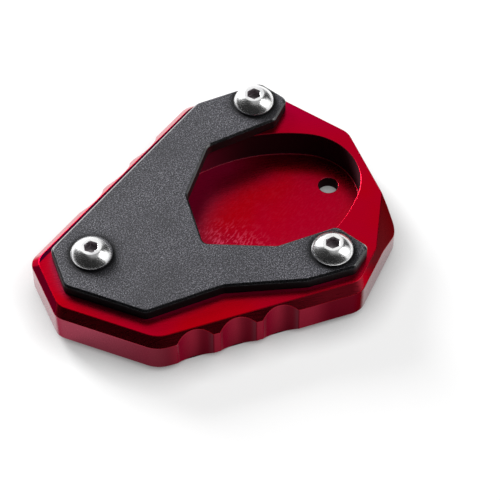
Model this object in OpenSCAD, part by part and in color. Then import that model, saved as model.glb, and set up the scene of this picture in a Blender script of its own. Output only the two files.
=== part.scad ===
// Foot enlarger for a motorbike side stand: a base with a pocket for the stand's foot,
// a retaining plate that covers the foot's edge, and the screws that hold the plate down.
// Millimetres. X runs along the straight front edge, Y to the back, Z up.
// The origin is under the middle of the outline, on the face that rests on the ground.

/* [Base outline] */
// Length over the outermost corners, before they are rounded
length = 84.2; // [83:0.1:90]
// Width from the front edge to the back edge
width = 67; // [66:0.5:72]
// Left end of the front edge, left of the middle
front_left = 21.9; // [19:0.1:24]
// Right end of the front edge, right of the middle
front_right = 27; // [24:0.1:29]
// Left end of the back edge, right of the middle
back_left = 6.7; // [4:0.1:8]
// Right end of the back edge, right of the middle
back_right = 24.7; // [23:0.1:28]
// Front end of the left edge, in front of the middle
left_front = 17.3; // [15:0.1:19]
// Back end of the left edge, in front of the middle
left_back = 0; // [0:0.1:2]
// How far the left edge's front end steps in
left_lean = 1.4; // [0:0.1:2]
// Front end of the right edge, in front of the middle
right_front = 17.5; // [16:0.1:20]
// Back end of the right edge, behind the middle
right_back = 11.4; // [9:0.1:13]
// How far the right edge's back end steps in
right_lean = 1.1; // [0:0.1:1.2]
// Rounding of the corner between the front left and front edges
front_rounding = 7; // [4:0.5:9]
// Rounding of the corner between the front right and right edges
right_rounding = 6; // [4:0.5:8]
// Rounding of the left edge's two corners
left_rounding = 3.8; // [2:0.1:5]
// Rounding of the other corners
corner_rounding = 5; // [3:0.5:6]

/* [Base section] */
// Thickness of the base
base_height = 10.8; // [10:0.1:14]
// Drop of the chamfer round the top face
top_chamfer = 2; // [1:0.1:2.5]
// Inset of the top chamfer on the long edges
chamfer_inset = 2; // [1:0.1:2.2]
// Inset of the top chamfer on the left and front right edges
end_chamfer_inset = 1.3; // [0.5:0.1:2]
// Edge break on the right and back right edges
edge_break = 0.25; // [0.1:0.05:0.5]
// Chamfer round the underside
bottom_chamfer = 1.7; // [0.5:0.1:2]

/* [Grip scallops] */
// Radius of each scallop
scallop_radius = 6.4; // [5.5:0.1:7]
// Depth of each scallop into the wall
scallop_depth = 1.65; // [1:0.05:1.9]
// Distance between neighbouring scallops
scallop_pitch = 10.2; // [9.5:0.1:11]
// Scallops on each scalloped edge
scallop_count = 3; // [1:1:3]
// From the front edge's left end to its first scallop
front_scallop_start = 9; // [8:0.1:12]
// From the back left edge's upper end to its first scallop
back_scallop_start = 16.2; // [12:0.1:20]

/* [Sloping corner] */
// Direction that the slope faces, clockwise from X
slope_facing = 26; // [22:1:30]
// From the sharp right corner in to the slope's upper edge
slope_inset = 4.3; // [2.5:0.1:4.6]
// Fall of the slope below the top face
slope_angle = 50; // [35:1:60]

/* [Foot pocket] */
// Length of the oval pocket
pocket_length = 59.2; // [50:0.1:59.2]
// Width of the oval pocket
pocket_width = 39.2; // [32:0.1:39.2]
// Radius of the pocket's two ends
pocket_end_radius = 14; // [12:0.1:15]
// Turn of the pocket's long axis from X
pocket_turn = 12.7; // [8:0.1:15]
// Depth of the pocket
pocket_depth = 7.6; // [5:0.1:8]
// Middle of the pocket, in from the right end
pocket_inset = 32.2; // [31.8:0.1:34]
// Middle of the pocket, in front of the outline's middle
pocket_y = 2; // [1:0.1:3]
// Diameter of the hole through the pocket's floor
floor_hole = 4.7; // [3:0.1:6]
// Middle of the floor hole, in from the right end
floor_hole_inset = 9.3; // [8:0.1:14]
// Middle of the floor hole, behind the outline's middle
floor_hole_y = 3.2; // [0:0.1:4]

/* [Retaining plate] */
// Thickness of the retaining plate
plate_thickness = 3; // [2:0.1:5]
// Chamfer round the plate's top face
plate_chamfer = 0.5; // [0.2:0.1:0.5]
// Left edge of the plate's top face, in from the base's left end
plate_left_inset = 5.4; // [5:0.1:6.3]
// Front edge of the plate's top face, in from the base's front edge
plate_front_inset = 4.5; // [3:0.1:5]
// Back edge of the plate's top face, in from the base's back edge
plate_back_inset = 2.8; // [2.8:0.1:4]
// Tip of the plate's front arm, in from the base's right end
front_arm_inset = 10.8; // [9:0.1:12]
// Tip of the plate's back arm, in from the base's right end
back_arm_inset = 13; // [12:0.1:14]
// Inner end of the plate's mouth, in from the base's right end
mouth_inset = 46.3; // [42:0.1:54]
// Front edge of the mouth, in from the base's front edge
mouth_front_inset = 15.3; // [14.5:0.1:16.5]
// Back edge of the mouth, in from the base's back edge
mouth_back_inset = 17.1; // [16.5:0.1:19]
// Rounding of the plate's outer corners
plate_rounding = 2; // [1:0.1:2.5]
// Rounding of the mouth's corners
mouth_rounding = 3; // [1:0.1:4]

/* [Screws] */
// Left screw, in from the base's left end
left_screw_inset = 13.4; // [12:0.1:15]
// Left screw, in front of the middle
left_screw_y = 6.3; // [5:0.1:8]
// Front screw, in from the base's right end
front_screw_inset = 18.6; // [17:0.1:19.5]
// Front screw, in from the base's front edge
front_screw_edge = 10.2; // [9.5:0.1:10.5]
// Back screw, in from the base's right end
back_screw_inset = 20.4; // [19:0.1:21]
// Back screw, in from the base's back edge
back_screw_edge = 7.8; // [7:0.1:8.5]
// Shank diameter
screw_diameter = 5; // [4:0.5:5]
// Head diameter
head_diameter = 9.7; // [8:0.1:10]
// Head height
head_height = 2.75; // [2:0.05:3.5]
// Height of the upright rim at the head's edge
head_rim = 0.5; // [0.2:0.05:0.8]
// Diameter of the flat on top of the head
head_flat = 4.8; // [4:0.1:6]
// Hexagon socket across its flats
socket_size = 3; // [2:0.5:3]
// Depth of the hexagon socket
socket_depth = 1.9; // [1:0.1:2]
// Length of the shank under the head
shank_length = 10; // [8:1:11]
// Gap all round the shank in its tapped hole
thread_clearance = 0.05; // [0.02:0.01:0.1]
// Depth of each tapped hole beyond its screw's tip
hole_run_out = 1.2; // [0.5:0.1:1.4]
// Gap all round the shank in its plate hole
plate_hole_clearance = 0.25; // [0.1:0.05:0.4]

/* [Hidden] */
$fn = 96;
through = 1;

// The base's four sides
left = -length / 2;
right = length / 2;
front = -width / 2;
back = width / 2;

// Corners of the base at its wall, counter-clockwise from the left edge's front end
wall_corners = [
    [left + left_lean, -left_front],
    [-front_left, front],
    [front_right, front],
    [right, -right_front],
    [right - right_lean, right_back],
    [back_right, back],
    [back_left, back],
    [left, -left_back]
];
wall_radii = [
    left_rounding, front_rounding, corner_rounding, right_rounding,
    corner_rounding, corner_rounding, corner_rounding, left_rounding
];

// Inset of the top face behind the edge that starts at each corner
top_insets = [
    chamfer_inset, chamfer_inset, end_chamfer_inset, edge_break,
    edge_break, chamfer_inset, chamfer_inset, end_chamfer_inset
];
no_insets = [for (corner = wall_corners) 0];
bottom_insets = [for (corner = wall_corners) bottom_chamfer];

// Screw places, and the turn of each screw's socket
screw_places = [
    [left + left_screw_inset, -left_screw_y],
    [right - front_screw_inset, front + front_screw_edge],
    [right - back_screw_inset, back - back_screw_edge]
];
socket_turns = [20, 8, 12];

// Corners of the plate's top face, counter-clockwise from the left edge's back end
plate_left = left + plate_left_inset;
plate_front = front + plate_front_inset;
plate_back = back - plate_back_inset;
front_arm = right - front_arm_inset;
back_arm = right - back_arm_inset;
mouth_left = right - mouth_inset;
mouth_front = front + mouth_front_inset;
mouth_back = back - mouth_back_inset;
plate_corners = [
    [plate_left, -1.9],
    [plate_left, -12.6],
    [plate_left + 14.9, plate_front + 3.5],
    [mouth_left + 1, plate_front + 4.7],
    [front_arm - 15.9, plate_front],
    [front_arm - 4.6, plate_front],
    [front_arm, plate_front + 4.1],
    [front_arm - 4.5, mouth_front + 0.8],
    [front_arm - 19.3, mouth_front],
    [mouth_left, mouth_front + 6.4],
    [mouth_left + 1, mouth_back - 13],
    [mouth_left + 10.6, mouth_back],
    [back_arm - 4.7, mouth_back + 2.6],
    [back_arm, plate_back - 6.7],
    [back_arm - 4.1, plate_back],
    [back_arm - 20.4, plate_back - 1.2]
];
plate_radii = [
    plate_rounding, plate_rounding, plate_rounding, mouth_rounding,
    mouth_rounding, plate_rounding, plate_rounding, plate_rounding,
    mouth_rounding, plate_rounding, plate_rounding, mouth_rounding,
    plate_rounding, plate_rounding, plate_rounding, mouth_rounding
];

// The pocket's side arcs meet its end arcs without a corner, at the join angle
pocket_end_offset = pocket_length / 2 - pocket_end_radius;
pocket_side_radius = (pow(pocket_end_offset, 2) + pow(pocket_width / 2, 2)
    - pow(pocket_end_radius, 2)) / (pocket_width - 2 * pocket_end_radius);
pocket_side_offset = pocket_side_radius - pocket_width / 2;
join_angle = atan2(pocket_side_offset, pocket_end_offset);
arc_step = 3.75;
corner_step = 7.5;

// The screw head's crown is part of a sphere, from the rim up to the flat
head_radius = head_diameter / 2;
crown_z = (pow(head_flat / 2, 2) + pow(head_height, 2) - pow(head_radius, 2)
    - pow(head_rim, 2)) / (2 * (head_height - head_rim));
crown_radius = norm([head_radius, head_rim - crown_z]);

plate_top = base_height + plate_thickness;
tapped_radius = screw_diameter / 2 + thread_clearance;
tapped_depth = shank_length - plate_thickness + hole_run_out;
plate_hole_radius = screw_diameter / 2 + plate_hole_clearance;

function unit(v) = v / norm(v);

function outward(from, to) = unit([to[1] - from[1], from[0] - to[0]]);

function before(i, count) = i == 0 ? count - 1 : i - 1;

function after(i, count) = i == count - 1 ? 0 : i + 1;

// Where the two edges at corner q meet once each is moved in by its inset
function inset_corner(p, q, r, first, second) =
    let (n = outward(p, q), m = outward(q, r), area = n[0] * m[1] - n[1] * m[0])
    q + [second * n[1] - first * m[1], first * m[0] - second * n[0]] / area;

function inset_outline(corners, insets) =
    let (count = len(corners))
    [for (i = [0:count - 1])
        let (back = before(i, count))
        inset_corner(corners[back], corners[i], corners[after(i, count)],
            insets[back], insets[i])];

// Points of an arc from one angle to another
function arc(centre, radius, from, to, step = arc_step) =
    let (steps = max(2, ceil(abs(to - from) / step)))
    [for (i = [0:steps])
        let (angle = from + (to - from) * i / steps)
        centre + radius * [cos(angle), sin(angle)]];

// The arc that rounds corner q
function corner_arc(p, q, r, radius) =
    let (
        u = unit(q - p),
        v = unit(r - q),
        side = sign(u[0] * v[1] - u[1] * v[0]),
        turn = acos(u * v),
        inward = side * radius * [-u[1], u[0]],
        from = atan2(-inward[1], -inward[0])
    )
    arc(q - radius * tan(turn / 2) * u + inward, radius, from, from + side * turn,
        corner_step);

function rounded_outline(corners, radii) =
    let (count = len(corners))
    [for (i = [0:count - 1])
        each corner_arc(corners[before(i, count)], corners[i], corners[after(i, count)],
            radii[i])];

// The base before it is cut: four levels of the outline, joined edge by edge
module base_blank() {
    levels = [
        [0, bottom_insets],
        [bottom_chamfer, no_insets],
        [base_height - top_chamfer, no_insets],
        [base_height, top_insets]
    ];
    rings = [for (level = levels)
        rounded_outline(inset_outline(wall_corners, level[1]), wall_radii)];
    count = len(rings[0]);
    polyhedron(
        points = [for (k = [0:3]) for (point = rings[k]) [point[0], point[1], levels[k][0]]],
        faces = [
            [for (i = [0:count - 1]) i],
            [for (i = [0:count - 1]) 4 * count - 1 - i],
            for (k = [0:2]) for (i = [0:count - 1])
                let (low = k * count, high = low + count, next = after(i, count))
                [low + i, high + i, high + next, low + next]
        ]
    );
}

// Cutters along the wall from one corner to the next
module scallop_cutters(from, to, first) {
    for (i = [0:scallop_count - 1]) {
        place = from + (first + i * scallop_pitch) * unit(to - from)
            + (scallop_radius - scallop_depth) * outward(from, to);
        translate([place[0], place[1], -through])
            cylinder(r = scallop_radius, h = base_height + 2 * through);
    }
}

module slope_cutter() {
    facing = [cos(slope_facing), -sin(slope_facing)];
    rotate([0, 0, -slope_facing])
        translate([facing * wall_corners[3] - slope_inset, 0, base_height])
            rotate([0, slope_angle, 0])
                translate([0, -width, 0])
                    cube([length, 2 * width, length]);
}

// The oval pocket: right end, back side, left end and front side
function pocket_outline() = concat(
    arc([pocket_end_offset, 0], pocket_end_radius, -join_angle, join_angle),
    arc([0, -pocket_side_offset], pocket_side_radius, join_angle + arc_step / 2,
        180 - join_angle - arc_step / 2),
    arc([-pocket_end_offset, 0], pocket_end_radius, 180 - join_angle, 180 + join_angle),
    arc([0, pocket_side_offset], pocket_side_radius, 180 + join_angle + arc_step / 2,
        360 - join_angle - arc_step / 2)
);

module pocket_cutter() {
    translate([right - pocket_inset, -pocket_y, base_height - pocket_depth])
        rotate([0, 0, pocket_turn])
            linear_extrude(pocket_depth + through)
                polygon(pocket_outline());
}

module base() {
    color("crimson")
        difference() {
            base_blank();
            scallop_cutters(wall_corners[1], wall_corners[2], front_scallop_start);
            scallop_cutters(wall_corners[6], wall_corners[7], back_scallop_start);
            slope_cutter();
            pocket_cutter();
            translate([right - floor_hole_inset, floor_hole_y, -through])
                cylinder(d = floor_hole, h = base_height);
            for (place = screw_places)
                translate([place[0], place[1], base_height - tapped_depth])
                    cylinder(r = tapped_radius, h = tapped_depth + through);
        }
}

// The outline of the plate's top face, moved in by one inset all round
function plate_outline(inset) =
    rounded_outline(inset_outline(plate_corners, [for (corner = plate_corners) inset]),
        plate_radii);

// A closed ring of triangular section that cuts the chamfer round the plate's top face
module plate_chamfer_cutter() {
    reach = plate_chamfer + through;
    levels = [
        [-reach, plate_thickness - reach],
        [through, plate_thickness + through],
        [-reach, plate_thickness + through]
    ];
    rings = [for (level = levels) plate_outline(level[0])];
    count = len(rings[0]);
    polyhedron(
        points = [for (k = [0:2]) for (point = rings[k]) [point[0], point[1], levels[k][1]]],
        faces = [for (k = [0:2]) for (i = [0:count - 1])
            let (low = k * count, high = after(k, 3) * count, next = after(i, count))
            [low + i, low + next, high + next, high + i]]
    );
}

module retaining_plate() {
    color("dimgray")
        translate([0, 0, base_height])
            difference() {
                linear_extrude(plate_thickness)
                    polygon(plate_outline(-plate_chamfer));
                plate_chamfer_cutter();
                for (place = screw_places)
                    translate([place[0], place[1], -through])
                        cylinder(r = plate_hole_radius, h = plate_thickness + 2 * through,
                            $fn = 48);
            }
}

// A button head screw with its head's underside at z = 0
module screw() {
    difference() {
        intersection() {
            cylinder(r = head_radius, h = head_height);
            translate([0, 0, crown_z])
                sphere(r = crown_radius);
        }
        translate([0, 0, head_height - socket_depth])
            cylinder(r = socket_size / 2 / cos(30), h = socket_depth + through, $fn = 6);
    }
    translate([0, 0, -shank_length])
        cylinder(d = screw_diameter, h = shank_length);
}

module plate_screws() {
    color("silver")
        for (i = [0:len(screw_places) - 1])
            translate([screw_places[i][0], screw_places[i][1], plate_top])
                rotate([0, 0, socket_turns[i]])
                    screw();
}

base();
retaining_plate();
plate_screws();
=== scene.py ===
"""Looks, light and camera for a side stand's foot enlarger, in metres."""

import math

import bpy
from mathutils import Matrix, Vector

MM = 0.001

# Camera: where it stands, how it tilts down, and how it turns about Z
CAMERA_PLACE = (-0.08704, -0.28230, 0.37340)
CAMERA_TILT = math.radians(38)
CAMERA_TURN = math.radians(-19.28)
CAMERA_LENS = 144

# Lamps, aimed at the object: name, place, width and height, power in watts
LAMPS = (
    ("key", (-0.34, 0.94, 0.45), (0.4, 0.4), 19),
    ("fill", (0.75, -0.30, 0.75), (0.6, 0.6), 2.8),
    ("side", (0.93, -0.26, 0.30), (0.8, 0.5), 1.4),
)

# Bright parts of the sky: the way to them, where they start and are full, faint and full strength
SKY_BEHIND = ((0.10, 0.85, 0.51), 0.62, 0.88, 0.02, 0.95)
SKY_ABOVE = ((0.10, -0.10, 0.99), 0.86, 0.99, 0.02, 0.40)
SKY_BELOW = ((0.0, 0.0, -1.0), 0.0, 0.1, 0.02, 0.80)

# The floor: its width, its own light, and how wide the painted contact shadow is where the object
# touches it
FLOOR_WIDTH = 6
FLOOR_GLOW = 0.77
CONTACT_SHADOW_REACH = 8 * MM

# Linear colours of the base
RED = (0.43, 0.0, 0.005, 1)
DEEP_RED = (0.34, 0.0, 0.045, 1)
SHADE_RED = (0.42, 0.0, 0.045, 1)
CHAMFER_RED = (0.42, 0.012, 0.030, 1)
# Painted shade and light on the walls outside: a shaded copy of the red, a pale painted
# reflection, and the scallops' lit and shaded flanks
SIDE_SHADE_RED = (0.12, 0.009, 0.016, 1)
SIDE_REFLECTION_RED = (0.32, 0.07, 0.10, 1)
GRIP_PAINTED_LIGHT = (0.34, 0.028, 0.050, 1)
GRIP_PAINTED_SHADE = (0.12, 0.040, 0.050, 1)
# Painted shade on the sloping corner and on the chamfers at the left end
SLOPE_SHADE_RED = (0.10, 0.0, 0.006, 1)
END_SHADE_RED = (0.10, 0.0, 0.014, 1)
# Painted shade on the top face's rim behind the plate
RIM_SHADE_RED = (0.05, 0.0, 0.012, 1)
# The pocket walls, darkening towards painted shade
WALL_RED = (0.34, 0.004, 0.05, 1)
WALL_SHADE = (0.030, 0.001, 0.005, 1)
# A painted highlight along the foot of the pocket walls
LINE_HIGHLIGHT_RED = (0.95, 0.30, 0.42, 1)
# Wear and brush marks, made paler by a painted highlight
WEAR_AND_SHEEN_RED = (0.92, 0.10, 0.20, 1)
EDGE_TINT = (0.85, 0.35, 0.42, 1)

# Linear colours of the plate
BLACK = (0.012, 0.012, 0.015, 1)
BLACK_GRAIN = (0.099, 0.097, 0.118, 1)
BLACK_SPECK = (0.50, 0.50, 0.54, 1)
BLACK_SMUDGE = (0.020, 0.020, 0.024, 1)
BLACK_SIDE = (0.008, 0.008, 0.009, 1)
BLACK_EDGE = (0.010, 0.010, 0.012, 1)
# The plate's shine in the open, and dulled in the painted shade round the screw heads
OPEN_SHINE = (1.0, 1.0, 1.0, 1)
SHADED_SHINE = (0.08, 0.08, 0.08, 1)

# Linear colours of the screws and the floor
STEEL = (0.92, 0.92, 0.92, 1)
STEEL_DARK = (0.72, 0.72, 0.73, 1)
STEEL_WORN = (0.90, 0.90, 0.90, 1)
# Painted shade inside the sockets
STEEL_SOCKET_SHADE = (0.30, 0.26, 0.28, 1)
FLOOR = (0.40, 0.40, 0.40, 1)

# The pocket: its middle, its turn, half sizes just beyond its walls, and heights about its floor
POCKET_MIDDLE = (9.9 * MM, -2.0 * MM)
POCKET_TURN = math.radians(12.7)
POCKET_HALF_SIZES = (30.6 * MM, 21.0 * MM)
POCKET_FLOOR = (3.6 * MM, 2.9 * MM)
POCKET_LINE = (4.6 * MM, 4.0 * MM)

# The way the sloping corner faces
SLOPE_TURN = math.radians(-26)
SLOPE_TILT = math.radians(50)

# Painted shade on the thin dark rim of the top face behind the plate: the way it faces, and how
# far out it is
RIM_TURN = math.radians(124.8)
RIM_REACH = (20.8 * MM, 21.0 * MM)

# Painted highlight on the pocket floor's brush marks: where it shines most, and how far from there
# it fades and is full
SHEEN_MIDDLE = (-1.0 * MM, -13.0 * MM)
SHEEN_REACH = (18 * MM, 5 * MM)

# From where to where tones change: over X, Y, or along the pocket
END_X = (-10 * MM, -20 * MM)
SIDE_REFLECTION_X = (-12 * MM, -38 * MM)
LIT_CHAMFER_X = (6 * MM, 20 * MM)
GRIPS_X = (-20 * MM, -16 * MM, 14 * MM, 20 * MM)
GRIPS_Y = (-28 * MM, -30 * MM)
WINE_SHADE_ALONG = (18 * MM, 4 * MM)
WALL_SHADE_ALONG = (-10 * MM, 14 * MM)
DEEP_RIGHT = (18 * MM, 48 * MM)

# How wide the painted shade in the corners of each material reaches, and its worn edges, which on
# the red part also carry a painted highlight
WINE_SHADE_REACH = 16 * MM
CONTACT_SHADE_REACH = 4 * MM
SOCKET_SHADE_REACH = 3 * MM
RED_EDGE = 0.3 * MM
STEEL_EDGE = 0.2 * MM

# Broken edges: widths, and the least angle that counts as an edge
BASE_BEVEL = 0.2 * MM
SMALL_BEVEL = 0.12 * MM
BEVEL_ANGLE = math.radians(25)
SCREW_BEVEL_ANGLE = math.radians(18)
WELD_REACH = 0.002 * MM
FLAT_ANGLE = math.radians(0.5)


class Tree:
    """Short ways to add and join the nodes of a material or the world."""

    def __init__(self, owner, output, place):
        owner.use_nodes = True
        self.owner = owner
        self.nodes = owner.node_tree.nodes
        self.links = owner.node_tree.links
        self.nodes.clear()
        self.output = self.nodes.new(output)
        self.place = self.nodes.new("ShaderNodeTexCoord").outputs[place]

    def put(self, socket, value):
        if isinstance(value, bpy.types.NodeSocket):
            self.links.new(value, socket)
        else:
            socket.default_value = value

    def show(self, shader):
        """Adds a shader as the surface."""
        self.links.new(shader.outputs[0], self.output.inputs["Surface"])

    def mapped(self, scale, turn=0.0):
        """The place on the part, turned about Z and then scaled."""
        turned = self.nodes.new("ShaderNodeMapping")
        turned.inputs["Rotation"].default_value = (0, 0, turn)
        self.links.new(self.place, turned.inputs["Vector"])
        scaled = self.nodes.new("ShaderNodeMapping")
        scaled.inputs["Scale"].default_value = scale
        self.links.new(turned.outputs["Vector"], scaled.inputs["Vector"])
        return scaled.outputs["Vector"]

    def noise(self, vector, detail=2.0, roughness=0.5):
        node = self.nodes.new("ShaderNodeTexNoise")
        node.inputs["Scale"].default_value = 1.0
        node.inputs["Detail"].default_value = detail
        node.inputs["Roughness"].default_value = roughness
        self.links.new(vector, node.inputs["Vector"])
        return node.outputs["Fac"]

    def ramp(self, value, low, high, to_low=0.0, to_high=1.0):
        node = self.nodes.new("ShaderNodeMapRange")
        node.interpolation_type = "SMOOTHSTEP"
        self.put(node.inputs["Value"], value)
        node.inputs["From Min"].default_value = low
        node.inputs["From Max"].default_value = high
        node.inputs["To Min"].default_value = to_low
        node.inputs["To Max"].default_value = to_high
        return node.outputs["Result"]

    def band(self, value, start, full, fading, gone):
        """1 from full to fading, and 0 before start and after gone."""
        return self.product(self.ramp(value, start, full), self.ramp(value, gone, fading))

    def math(self, operation, first, second=0.0):
        node = self.nodes.new("ShaderNodeMath")
        node.operation = operation
        self.put(node.inputs[0], first)
        self.put(node.inputs[1], second)
        return node.outputs[0]

    def joined(self, operation, value, others):
        for other in others:
            value = self.math(operation, value, other)
        return value

    def product(self, value, *others):
        return self.joined("MULTIPLY", value, others)

    def total(self, value, *others):
        return self.joined("ADD", value, others)

    def largest(self, value, *others):
        return self.joined("MAXIMUM", value, others)

    def square(self, value):
        return self.math("POWER", value, 2.0)

    def without(self, value):
        """1 less the value."""
        return self.math("SUBTRACT", 1.0, value)

    def from_point(self, place, point):
        """How far a place lies from a point, over X and over Y."""
        return [self.math("SUBTRACT", place[i], point[i]) for i in (0, 1)]

    def towards(self, place, turn):
        """How far a place lies in one direction over the ground."""
        return self.total(
            self.product(place[0], math.cos(turn)), self.product(place[1], math.sin(turn)),
        )

    def mix(self, factor, first, second):
        node = self.nodes.new("ShaderNodeMix")
        node.data_type = "RGBA"
        self.put(node.inputs[0], factor)
        self.put(node.inputs[6], first)
        self.put(node.inputs[7], second)
        return node.outputs[2]

    def layered(self, colour, *layers):
        """A colour with others laid over it in turn, each by its own mask."""
        for mask, tone in layers:
            colour = self.mix(mask, colour, tone)
        return colour

    def split(self, vector):
        node = self.nodes.new("ShaderNodeSeparateXYZ")
        self.links.new(vector, node.inputs["Vector"])
        return node.outputs

    def dot(self, first, second):
        node = self.nodes.new("ShaderNodeVectorMath")
        node.operation = "DOT_PRODUCT"
        self.put(node.inputs[0], first)
        self.put(node.inputs[1], second)
        return node.outputs["Value"]

    def normal(self):
        return self.nodes.new("ShaderNodeNewGeometry").outputs["Normal"]

    def facing_way(self, turn, tilt):
        """1 on a face that looks one way, and 0 on the others."""
        flat = math.sin(tilt)
        way = (flat * math.cos(turn), flat * math.sin(turn), math.cos(tilt))
        return self.ramp(self.dot(self.normal(), way), 0.96, 0.99)

    def glancing(self):
        """0 on a face seen straight on, up to 1 on one seen edge on."""
        node = self.nodes.new("ShaderNodeLayerWeight")
        node.inputs["Blend"].default_value = 0.5
        return node.outputs["Facing"]

    def edges(self, radius):
        """How near a surface point is to a sharp edge, from 0 to 1."""
        bevel = self.nodes.new("ShaderNodeBevel")
        bevel.samples = 6
        bevel.inputs["Radius"].default_value = radius
        return self.ramp(self.dot(bevel.outputs["Normal"], self.normal()), 0.995, 0.90)

    def open_sky(self, reach, samples):
        """1 in the open, and less in corners narrower than the reach."""
        node = self.nodes.new("ShaderNodeAmbientOcclusion")
        node.samples = samples
        node.inputs["Distance"].default_value = reach
        return node.outputs["AO"]

    def seen(self):
        """1 for the camera and in shiny or clear surfaces, and 0 as light on the object."""
        rays = self.nodes.new("ShaderNodeLightPath").outputs
        return self.largest(
            rays["Is Camera Ray"], rays["Is Glossy Ray"], rays["Is Transmission Ray"],
        )

    def bump(self, height, strength, distance):
        node = self.nodes.new("ShaderNodeBump")
        node.inputs["Strength"].default_value = strength
        node.inputs["Distance"].default_value = distance
        self.links.new(height, node.inputs["Height"])
        return node.outputs["Normal"]

    def principled(self, **values):
        shader = self.nodes.new("ShaderNodeBsdfPrincipled")
        self.show(shader)
        for name, value in values.items():
            self.put(shader.inputs[name.replace("_", " ")], value)


def material_tree(name):
    return Tree(bpy.data.materials.new(name), "ShaderNodeOutputMaterial", "Object")


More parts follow.
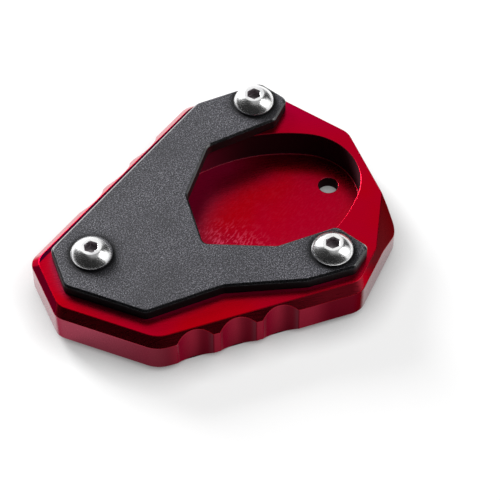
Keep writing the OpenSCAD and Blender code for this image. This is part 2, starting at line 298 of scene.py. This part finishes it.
def red_anodised():
    tree = material_tree("red_anodised")
    place = tree.split(tree.place)
    normal = tree.split(tree.normal())

    # Kinds of face, by how they slope
    up = tree.ramp(normal["Z"], 0.9, 0.97)
    steep = tree.ramp(normal["Z"], 0.5, 0.3)
    chamfer = tree.band(normal["Z"], 0.55, 0.65, 0.80, 0.90)
    # The sloping corner and the chamfers at the left end carry painted shade
    slope = tree.facing_way(SLOPE_TURN, SLOPE_TILT)
    end = tree.product(
        tree.band(normal["Z"], 0.48, 0.52, 0.58, 0.63), tree.ramp(place["X"], *END_X),
    )
    # Painted shade on the rim of the top face behind the plate
    rim_shade = tree.product(tree.ramp(tree.towards(place, RIM_TURN), *RIM_REACH), up)

    # The pocket's floor and walls, and the walls outside of it
    from_middle = tree.from_point(place, POCKET_MIDDLE)
    along = tree.towards(from_middle, POCKET_TURN)
    across = tree.towards(from_middle, POCKET_TURN + math.radians(90))
    oval = tree.total(
        tree.square(tree.math("DIVIDE", along, POCKET_HALF_SIZES[0])),
        tree.square(tree.math("DIVIDE", across, POCKET_HALF_SIZES[1])),
    )
    inside = tree.ramp(oval, 1.02, 0.98)
    floor = tree.product(up, tree.ramp(place["Z"], *POCKET_FLOOR))
    wall = tree.product(inside, steep)
    side = tree.product(tree.without(inside), steep)
    edge = tree.edges(RED_EDGE)
    # Painted highlight: a pale line along the foot of the pocket's walls
    foot_highlight = tree.product(
        edge, inside, tree.ramp(place["Z"], *POCKET_LINE), tree.ramp(oval, 0.55, 0.65),
    )

    # Cutter marks: faint streaks on the top face, and short strokes on the pocket's floor, made
    # bright by a painted highlight that fades away from one spot
    streaks = tree.noise(tree.mapped((260, 5200, 900), math.radians(4)), 3.0, 0.6)
    strokes = tree.noise(tree.mapped((2300, 560, 900), math.radians(53)), 2.0, 0.6)
    from_sheen = tree.from_point(place, SHEEN_MIDDLE)
    away = tree.math("SQRT", tree.total(*(tree.square(value) for value in from_sheen)))
    marks_and_sheen = tree.product(
        tree.ramp(strokes, 0.50, 0.60), tree.ramp(away, *SHEEN_REACH, 0.04, 1.0), floor,
    )
    broad = tree.noise(tree.mapped((55, 55, 55)), 2.0)
    fine = tree.noise(tree.mapped((5000, 5000, 5000)), 1.0)
    # Edges made paler, partly by wear and partly as a painted highlight
    wear_and_sheen = tree.product(edge, tree.ramp(broad, 0.3, 0.6, 0.2, 0.55))

    # Deeper red towards the back right, and softly uneven all over
    right = tree.total(place["Y"], tree.product(place["X"], 0.5))
    deep = tree.ramp(right, *DEEP_RIGHT, 0.0, 0.75)
    uneven = tree.ramp(broad, 0.35, 0.7, 0.0, 0.25)
    top_colour = tree.mix(tree.largest(deep, uneven), RED, DEEP_RED)

    # Painted shade: close to the plate and the walls, the left part is a soft wine red
    shade = tree.product(
        tree.ramp(tree.open_sky(WINE_SHADE_REACH, 8), 0.85, 0.45),
        tree.ramp(along, *WINE_SHADE_ALONG, 0.15, 1.0), up,
    )

    # Painted light and shade on the walls outside: a shaded copy of the red, a pale painted
    # reflection towards the left, and the scallops turn from painted light to painted shade, left
    # to right
    grips = tree.product(tree.band(place["X"], *GRIPS_X), tree.ramp(place["Y"], *GRIPS_Y))
    side_colour = tree.layered(
        SIDE_SHADE_RED,
        (tree.ramp(place["X"], *SIDE_REFLECTION_X, 0.0, 0.9), SIDE_REFLECTION_RED),
        (tree.product(tree.ramp(normal["X"], -0.38, 0.10, 0.0, 0.7), grips), GRIP_PAINTED_LIGHT),
        (tree.product(tree.ramp(normal["X"], -0.45, -0.75), grips), GRIP_PAINTED_SHADE),
    )
    # Painted shade: the pocket's walls darken along the pocket towards the right
    wall_colour = tree.mix(tree.ramp(along, *WALL_SHADE_ALONG), WALL_RED, WALL_SHADE)
    colour = tree.layered(
        top_colour, (shade, SHADE_RED), (marks_and_sheen, WEAR_AND_SHEEN_RED), (chamfer, CHAMFER_RED),
        (side, side_colour), (slope, SLOPE_SHADE_RED), (end, END_SHADE_RED), (rim_shade, RIM_SHADE_RED),
        (wall, wall_colour), (wear_and_sheen, WEAR_AND_SHEEN_RED), (foot_highlight, LINE_HIGHLIGHT_RED),
    )

    # The dyed coat turns glossy where it is seen at a low angle, and less so in the scallops
    uncoated = tree.largest(wall, slope, tree.product(edge, 0.7))
    coat = tree.product(
        tree.ramp(tree.glancing(), 0.60, 0.78), tree.without(uncoated),
        tree.ramp(grips, 0.0, 1.0, 1.0, 0.2),
    )

    # Pocket walls, shaded corners and the chamfer at the front right are matt
    front = tree.ramp(normal["Y"], -0.3, -0.6)
    lit_chamfer = tree.product(chamfer, front, tree.ramp(place["X"], *LIT_CHAMFER_X))
    matt = tree.largest(
        tree.product(wall, 0.95), tree.product(shade, 0.85), foot_highlight,
        tree.product(edge, side, 0.6), tree.product(lit_chamfer, 0.5),
    )
    roughness = tree.largest(
        tree.ramp(streaks, 0.3, 0.75, 0.26, 0.36), tree.product(wall, 0.85),
    )
    height = tree.total(tree.product(streaks, 0.3), tree.product(fine, 0.2), marks_and_sheen)
    tree.principled(
        Base_Color=colour, Metallic=tree.without(matt), Roughness=roughness,
        Specular_Tint=EDGE_TINT,
        Coat_Weight=coat, Coat_Roughness=0.10, Coat_IOR=4.0,
        Normal=tree.bump(height, 0.12, 0.02 * MM),
    )
    return tree.owner


def black_anodised():
    tree = material_tree("black_anodised")
    grain = tree.noise(tree.mapped((3400, 3400, 3400)), 2.0, 0.7)
    fine = tree.noise(tree.mapped((7000, 7000, 7000)), 1.0)
    broad = tree.noise(tree.mapped((90, 90, 90)), 2.0)
    specks = tree.ramp(tree.product(grain, fine), 0.30, 0.38)
    slant = tree.split(tree.normal())["Z"]
    chamfer = tree.band(slant, 0.45, 0.6, 0.8, 0.93)

    # Painted shade: dark, with a dull shine, in the narrow corners round the screw heads
    contact_shade = tree.product(tree.ramp(tree.open_sky(CONTACT_SHADE_REACH, 16), 0.97, 0.86), 0.95)
    colour = tree.layered(
        BLACK,
        (tree.ramp(grain, 0.44, 0.56), BLACK_GRAIN),
        (tree.product(specks, 0.7), BLACK_SPECK),
        (tree.ramp(broad, 0.4, 0.7, 0.0, 0.3), BLACK_SMUDGE),
        (tree.ramp(slant, 0.5, 0.3), BLACK_SIDE),
        (chamfer, BLACK_EDGE),
        (contact_shade, BLACK_SIDE),
    )
    blasted = tree.ramp(grain, 0.35, 0.65, 0.42, 0.62)
    roughness = tree.math("SUBTRACT", blasted, tree.product(chamfer, 0.2))

    # The chamfer is glossy, most of all where it is seen at a low angle
    coat = tree.product(chamfer, tree.ramp(tree.glancing(), 0.48, 0.62, 0.12, 1.0))
    tree.principled(
        Base_Color=colour, Roughness=roughness, Specular_IOR_Level=0.35,
        Specular_Tint=tree.mix(contact_shade, OPEN_SHINE, SHADED_SHINE),
        Coat_Weight=coat, Coat_Roughness=0.12, Coat_IOR=4.0,
        Normal=tree.bump(grain, 0.5, 0.05 * MM),
    )
    return tree.owner


def stainless():
    tree = material_tree("stainless")
    scratches = tree.noise(tree.mapped((900, 6000, 2500), math.radians(30)), 3.0, 0.6)
    smudge = tree.noise(tree.mapped((320, 320, 320)), 2.0)

    # The sockets are dull inside, and dark as painted shade
    socket = tree.ramp(tree.open_sky(SOCKET_SHADE_REACH, 16), 0.60, 0.40)
    colour = tree.layered(
        STEEL,
        (tree.ramp(smudge, 0.4, 0.75), STEEL_DARK),
        (tree.product(tree.edges(STEEL_EDGE), 0.6), STEEL_WORN),
        (socket, STEEL_SOCKET_SHADE),
    )
    roughness = tree.largest(
        tree.ramp(scratches, 0.3, 0.8, 0.21, 0.30), tree.product(socket, 0.6),
    )
    tree.principled(
        Base_Color=colour, Metallic=1.0, Roughness=roughness,
        Normal=tree.bump(scratches, 0.08, 0.02 * MM),
    )
    return tree.owner


def dress(node, material, bevel_width, bevel_angle=BEVEL_ANGLE):
    """Gives a CAD node its material and softly broken edges."""
    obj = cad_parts[node]
    obj.data.materials.clear()
    obj.data.materials.append(material)
    weld = obj.modifiers.new("weld", "WELD")
    weld.merge_threshold = WELD_REACH
    flat = obj.modifiers.new("flat", "DECIMATE")
    flat.decimate_type = "DISSOLVE"
    flat.angle_limit = FLAT_ANGLE
    bevel = obj.modifiers.new("bevel", "BEVEL")
    bevel.width = bevel_width
    bevel.segments = 2
    bevel.limit_method = "ANGLE"
    bevel.angle_limit = bevel_angle
    bevel.use_clamp_overlap = False
    smooth = obj.modifiers.new("smooth", "WEIGHTED_NORMAL")
    smooth.keep_sharp = True
    for polygon in obj.data.polygons:
        polygon.use_smooth = True


def make_floor():
    """A pale floor that keeps the shadow and shows as white to the camera and in metal."""
    bpy.ops.mesh.primitive_plane_add(size=FLOOR_WIDTH)
    floor = bpy.context.object
    floor.name = "floor"
    tree = material_tree("pale_floor")
    diffuse = tree.nodes.new("ShaderNodeBsdfDiffuse")
    diffuse.inputs["Color"].default_value = FLOOR
    glow = tree.nodes.new("ShaderNodeEmission")
    # Painted contact shadow: the floor's glow fades where the object touches it
    strength = tree.product(tree.seen(), tree.open_sky(CONTACT_SHADOW_REACH, 8), FLOOR_GLOW)
    tree.put(glow.inputs["Strength"], strength)
    both = tree.nodes.new("ShaderNodeAddShader")
    tree.links.new(diffuse.outputs["BSDF"], both.inputs[0])
    tree.links.new(glow.outputs["Emission"], both.inputs[1])
    tree.show(both)
    floor.data.materials.append(tree.owner)


def make_world():
    """A studio sky, bright behind the object and soft overhead, for the camera and shiny faces."""
    tree = Tree(bpy.data.worlds.new("studio"), "ShaderNodeOutputWorld", "Generated")
    bpy.context.scene.world = tree.owner
    background = tree.nodes.new("ShaderNodeBackground")
    background.inputs["Color"].default_value = (1, 1, 1, 1)
    tree.show(background)
    behind, above, below = (
        tree.ramp(tree.dot(tree.place, way), *levels)
        for way, *levels in (SKY_BEHIND, SKY_ABOVE, SKY_BELOW)
    )

    # Only the camera and shiny surfaces see the upper sky; the lamps give the rest of the light
    upper = tree.product(tree.seen(), tree.largest(behind, above))
    tree.put(background.inputs["Strength"], tree.largest(upper, below))


def make_lamps():
    for name, place, size, power in LAMPS:
        light = bpy.data.lights.new(name, "AREA")
        light.shape = "RECTANGLE"
        light.size, light.size_y = size
        light.energy = power
        obj = bpy.data.objects.new(name, light)
        obj.location = place
        obj.rotation_euler = (-Vector(place)).to_track_quat("-Z", "Y").to_euler()
        bpy.context.scene.collection.objects.link(obj)


def make_camera():
    data = bpy.data.cameras.new("camera")
    data.lens = CAMERA_LENS
    data.sensor_width = 36
    data.clip_start = 0.02
    data.clip_end = 20
    camera = bpy.data.objects.new("camera", data)
    camera.location = CAMERA_PLACE
    camera.rotation_euler = (CAMERA_TILT, 0, CAMERA_TURN)
    bpy.context.scene.collection.objects.link(camera)
    bpy.context.scene.camera = camera


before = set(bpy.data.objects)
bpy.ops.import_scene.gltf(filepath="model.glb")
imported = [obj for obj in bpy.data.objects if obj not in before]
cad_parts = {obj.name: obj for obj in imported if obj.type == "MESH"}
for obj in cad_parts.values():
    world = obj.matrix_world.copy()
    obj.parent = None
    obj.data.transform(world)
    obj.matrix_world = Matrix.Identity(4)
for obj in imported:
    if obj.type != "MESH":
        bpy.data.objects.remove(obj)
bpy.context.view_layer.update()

dress("base", red_anodised(), BASE_BEVEL)
dress("retaining_plate", black_anodised(), SMALL_BEVEL)
dress("plate_screws", stainless(), SMALL_BEVEL, SCREW_BEVEL_ANGLE)

make_floor()
make_world()
make_lamps()
make_camera()
bpy.context.scene.view_settings.view_transform = "Standard"
